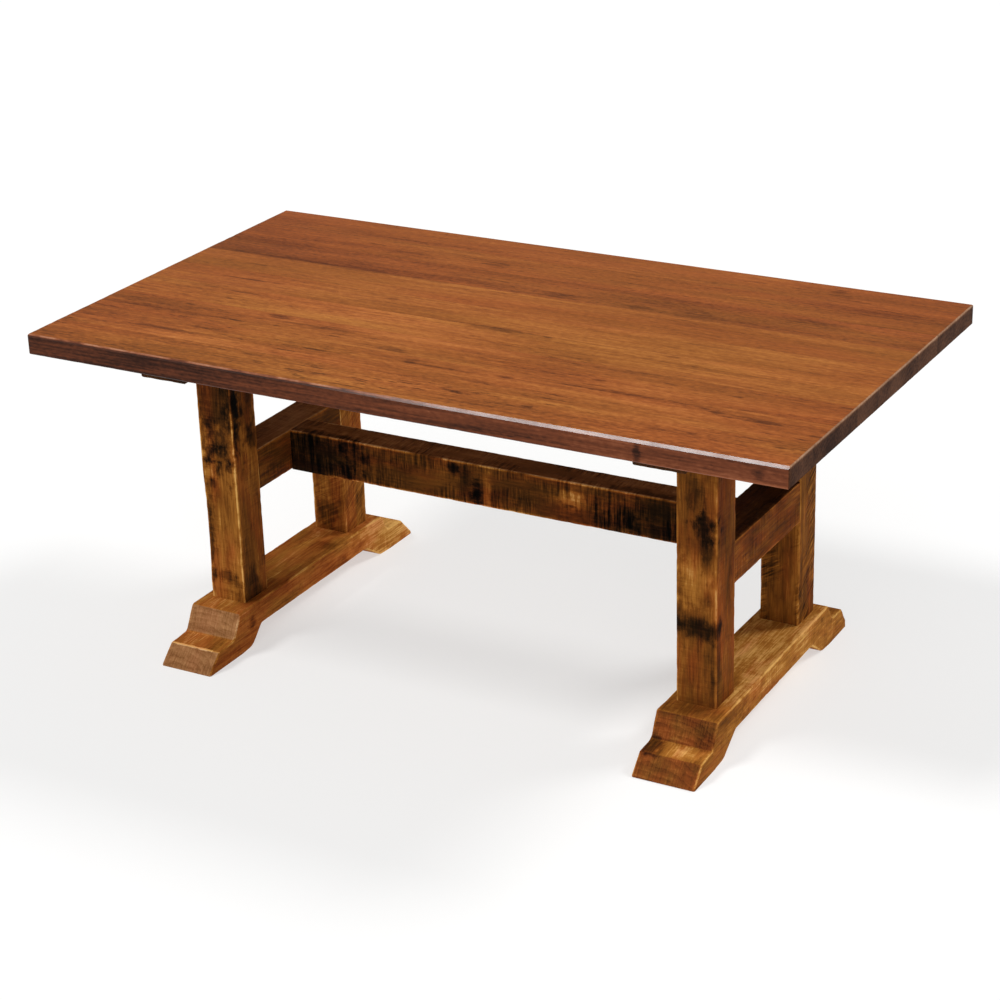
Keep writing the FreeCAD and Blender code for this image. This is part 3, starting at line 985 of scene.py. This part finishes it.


# %% [markdown]
# Now the sheets. Faces that differ are given as a way they look, a shift of the tone, of the redness and
# of the greyness: painted light and shade for faces that the light reaches more or less. Stains, a few of
# them painted shadow and painted light, are given as a place, a size along each axis and how much they
# shift the tone.

# %% Paint the legs
to_right, upwards = (1, 0, 0), (0, 0, 1)
leg_sheets = {
    "leg_left_near": dict(seed=101, tone=0.75, redness=0.25, saw=0.8, smoke=0.12, worn=0.34, painted_face_light=[
        # painted shade on the face that looks into the table
        (to_right, -0.18, 0.1, 0.0),
    ], stains_and_painted_light=[
        # partly a stain, partly painted shadow of the top: the darker upper front of the leg
        ((-0.575, -0.256, 0.600), (0.090, 0.03, 0.160), -0.42),
        ((-0.595, -0.256, 0.519), (0.020, 0.03, 0.018), -0.10),
        ((-0.564, -0.256, 0.572), (0.036, 0.03, 0.011), 0.06),
        ((-0.568, -0.256, 0.447), (0.038, 0.03, 0.020), -0.22),
        ((-0.568, -0.256, 0.423), (0.024, 0.03, 0.014), -0.16),
        ((-0.596, -0.256, 0.380), (0.017, 0.03, 0.014), -0.22),
        ((-0.584, -0.256, 0.292), (0.004, 0.03, 0.034), 0.10),
        ((-0.614, -0.256, 0.241), (0.013, 0.03, 0.110), -0.34),
        ((-0.575, -0.256, 0.158), (0.026, 0.03, 0.013), -0.22),
        ((-0.555, -0.256, 0.148), (0.018, 0.03, 0.011), -0.14),
        # partly a stain, partly painted shadow of the top: the darker upper inner side of the leg
        ((-0.530, -0.205, 0.590), (0.03, 0.060, 0.110), -0.16),
        ((-0.530, -0.187, 0.474), (0.03, 0.028, 0.027), -0.26),
        ((-0.530, -0.222, 0.393), (0.03, 0.022, 0.014), -0.09),
        ((-0.530, -0.221, 0.125), (0.03, 0.034, 0.045), -0.24),
        ((-0.530, -0.178, 0.306), (0.03, 0.011, 0.053), 0.05),
    ]),
    "leg_right_near": dict(seed=102, tone=0.595, redness=0.3, saw=0.5, smoke=0.12, worn=0.24, painted_face_light=[
        (to_right, -0.05, 0.25, 0.0),
    ], stains_and_painted_light=[
        ((0.619, -0.212, 0.640), (0.03, 0.050, 0.060), -0.04),
        ((0.619, -0.230, 0.480), (0.03, 0.020, 0.060), -0.08),
        ((0.619, -0.190, 0.330), (0.03, 0.016, 0.090), -0.07),
        ((0.619, -0.245, 0.200), (0.03, 0.014, 0.070), -0.08),
        ((0.574, -0.256, 0.567), (0.020, 0.03, 0.038), -0.16),
        ((0.577, -0.256, 0.566), (0.006, 0.03, 0.010), -0.10),
        ((0.592, -0.256, 0.491), (0.023, 0.03, 0.028), -0.26),
        ((0.586, -0.256, 0.470), (0.029, 0.03, 0.050), -0.15),
        ((0.596, -0.256, 0.438), (0.014, 0.03, 0.034), -0.18),
        ((0.568, -0.256, 0.372), (0.046, 0.03, 0.060), 0.22),
        ((0.577, -0.256, 0.271), (0.080, 0.03, 0.023), -0.34),
        ((0.600, -0.256, 0.339), (0.019, 0.03, 0.020), -0.14),
    ]),
    "leg_left_far": dict(seed=103, tone=0.68, saw=1.6, slant=0.5, worn=0.24, stains_and_painted_light=[
        ((-0.583, 0.168, 0.143), (0.030, 0.03, 0.042), -0.22),
        ((-0.530, 0.229, 0.166), (0.03, 0.018, 0.020), -0.14),
    ]),
    "leg_right_far": dict(seed=104, tone=0.56, redness=0.1, saw=3.2, slant=0.5, worn=0.22, painted_face_light=[
        (to_right, -0.03, 0.1, 0.0),
    ], stains_and_painted_light=[
        ((0.619, 0.230, 0.386), (0.03, 0.025, 0.010), -0.15),
    ]),
}
for node, sheet in leg_sheets.items():
    paint_timber(node, legs[node], ACROSS_Z, **sheet)
print("legs painted:", len(leg_sheets))

# %% Paint the rails and the stretcher
rail_sheets = {
    # the tops of the rails get painted light and shade, and are greyed against the red light that the top's
    # underside bounces onto them
    "rail_left": dict(seed=111, tone=0.47, redness=0.3, painted_face_light=[(upwards, 0.15, -0.5, 0.8)]),
    "rail_right": dict(seed=112, tone=0.52, redness=0.6, painted_face_light=[(upwards, -0.18, -0.4, 0.4)], stains_and_painted_light=[
        ((0.619, -0.086, 0.400), (0.03, 0.045, 0.027), -0.15),
    ]),
}
for node, sheet in rail_sheets.items():
    paint_timber(node, rails[node], ACROSS_Y, **sheet)

paint_timber(
    "stretcher", stretcher, ACROSS_X, seed=121, tone=0.46, redness=0.42, saw=2.3, grainy=0.45, worn=0.42,
    # the stretcher's top is painted lighter and greyer: painted light against the red light bounced from the
    # top's underside
    painted_face_light=[(upwards, 0.14, -0.4, 0.7)], stains_and_painted_light=[
        ((-0.465, -0.038, 0.382), (0.110, 0.03, 0.110), -0.32),
        ((-0.361, -0.038, 0.389), (0.030, 0.03, 0.060), -0.10),
        ((-0.108, -0.038, 0.415), (0.016, 0.03, 0.014), -0.40),
        ((-0.080, -0.038, 0.388), (0.016, 0.03, 0.040), -0.16),
        ((-0.050, -0.038, 0.368), (0.014, 0.03, 0.028), -0.46),
        ((-0.025, -0.038, 0.380), (0.012, 0.03, 0.038), 0.18),
        ((0.183, -0.038, 0.395), (0.033, 0.03, 0.023), 0.34),
        ((0.182, -0.038, 0.380), (0.007, 0.03, 0.004), -0.32),
        ((0.277, -0.038, 0.368), (0.056, 0.03, 0.023), -0.10),
        ((0.320, -0.038, 0.380), (0.012, 0.03, 0.026), -0.16),
        ((0.359, -0.038, 0.384), (0.004, 0.03, 0.005), -0.22),
        ((0.445, -0.038, 0.388), (0.200, 0.03, 0.200), -0.20),
        ((0.480, -0.038, 0.362), (0.070, 0.03, 0.050), -0.06),
        ((0.440, -0.038, 0.392), (0.030, 0.03, 0.030), 0.07),
    ],
)

print("rails painted:", len(rail_sheets), "and the stretcher")

# %% Paint the feet and the cleats
foot_sheets = {
    "foot_left": dict(seed=131, tone=0.69, redness=0.25, saw=0.45, smoke=0.06, end_shift=-0.03, end_grey=0.7,
                      painted_face_light=[(to_right, 0.0, 0.4, 0.0), (upwards, 0.02, 0.25, 0.0)], stains_and_painted_light=[
        ((-0.510, -0.260, 0.054), (0.03, 0.016, 0.017), -0.28),
        ((-0.536, 0.087, 0.098), (0.024, 0.020, 0.02), -0.16),
        # painted light: the far end of the foot is lighter where the rear softbox falls on it
        ((-0.512, 0.330, 0.060), (0.15, 0.180, 0.10), 0.16),
        ((-0.575, -0.280, 0.098), (0.10, 0.030, 0.02), 0.09),
        # a painted highlight along the nose of the lower step
        ((-0.575, -0.394, 0.041), (0.10, 0.003, 0.003), 0.40),
        ((-0.575, -0.325, 0.085), (0.10, 0.012, 0.02), 0.05),
    ]),
    "foot_right": dict(seed=132, tone=0.71, redness=0.15, saw=0.5, smoke=0.06, end_shift=-0.17, end_red=0.5,
                       end_grey=0.1, painted_face_light=[(to_right, -0.07, 0.0, 0.0)], stains_and_painted_light=[
        ((0.575, -0.280, 0.098), (0.10, 0.030, 0.02), -0.16),
        # painted light: the middle and far part of the foot are lighter where the rear softbox falls on them
        ((0.600, 0.100, 0.080), (0.15, 0.330, 0.08), 0.17),
        ((0.625, -0.318, 0.070), (0.025, 0.02, 0.012), -0.12),
        ((0.597, 0.055, 0.098), (0.014, 0.020, 0.02), -0.10),
        ((0.600, -0.362, 0.045), (0.052, 0.024, 0.005), 0.15),
        ((0.516, -0.362, 0.045), (0.036, 0.040, 0.012), -0.36),
        ((0.622, -0.334, 0.054), (0.024, 0.014, 0.008), -0.13),
        ((0.612, -0.312, 0.085), (0.030, 0.014, 0.005), -0.08),
        ((0.565, -0.326, 0.072), (0.060, 0.020, 0.022), 0.05),
    ]),
}
for node, sheet in foot_sheets.items():
    paint_timber(node, feet[node], ACROSS_Y, worn=0.16, **sheet)

for seed, (node, piece) in enumerate(cleats.items()):
    paint_timber(node, piece, ACROSS_Y, seed=141 + seed, tone=0.26, worn=0.06)
print("feet painted:", len(foot_sheets), "and cleats:", len(cleats))

# %% [markdown]
# ## What stays as it was cut
# The tongues inside the top and the steel screws and washers already have the right shape in the
# frame, and hardly show. They keep their meshes and only get a finish: bare wood, and zinc plating
# with the faint spangle and scuffs of a hardware box.

# %% Finish the tongues, screws and washers
BARE_WOOD = screen_ramp((0.0, 120, 84, 48), (1.0, 216, 178, 128))
ZINC = screen_ramp((0.0, 120, 118, 112), (1.0, 214, 212, 204))
steel_kinds = ("foot_lag_screws", "foot_washers", "top_screws")
bare_relief = 0.0001
zinc_relief = 0.00002


def paint_bare(pieces):
    """Planed wood without a finish."""
    material, where, _ = new_finish("bare_wood")
    streak = mottle(where, 4, 120, 3.0)
    fibre = mottle(where, 20, 400, 5.0, 2)
    colour = tint(0.55 + streak * 0.1 + fibre * 0.05, BARE_WOOD)
    gloss = 0.7 + fibre * 0.03
    height = streak * 0.4 + fibre * 0.5
    finish_shader(material, colour, gloss, height, bare_relief, shine=0.2)
    give(material, pieces)


def plate_with_zinc(pieces):
    """Zinc plating: a pale metal whose gloss varies in small patches."""
    material, where, _ = new_finish("zinc_plating")
    spangle = mottle(where, 260, 260, 3.0, 2)
    scuff = mottle(where, 120, 900, 5.0)
    colour = tint(0.6 + spangle * 0.1 + scuff * 0.05, ZINC)
    gloss = 0.36 + spangle * 0.04
    shader = finish_shader(material, colour, gloss, scuff * 0.5, zinc_relief, shine=0.5)
    shader.inputs["Metallic"].default_value = 1.0
    give(material, pieces)


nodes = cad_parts
tongues = [piece for name, piece in nodes.items() if name.startswith("top_tongue")]
steel = [piece for name, piece in nodes.items() if name.rsplit("_", 1)[0] in steel_kinds]
paint_bare(tongues)
plate_with_zinc(steel)
print("kept from the frame:", len(tongues), "tongues and", len(steel), "groups of steel pieces")
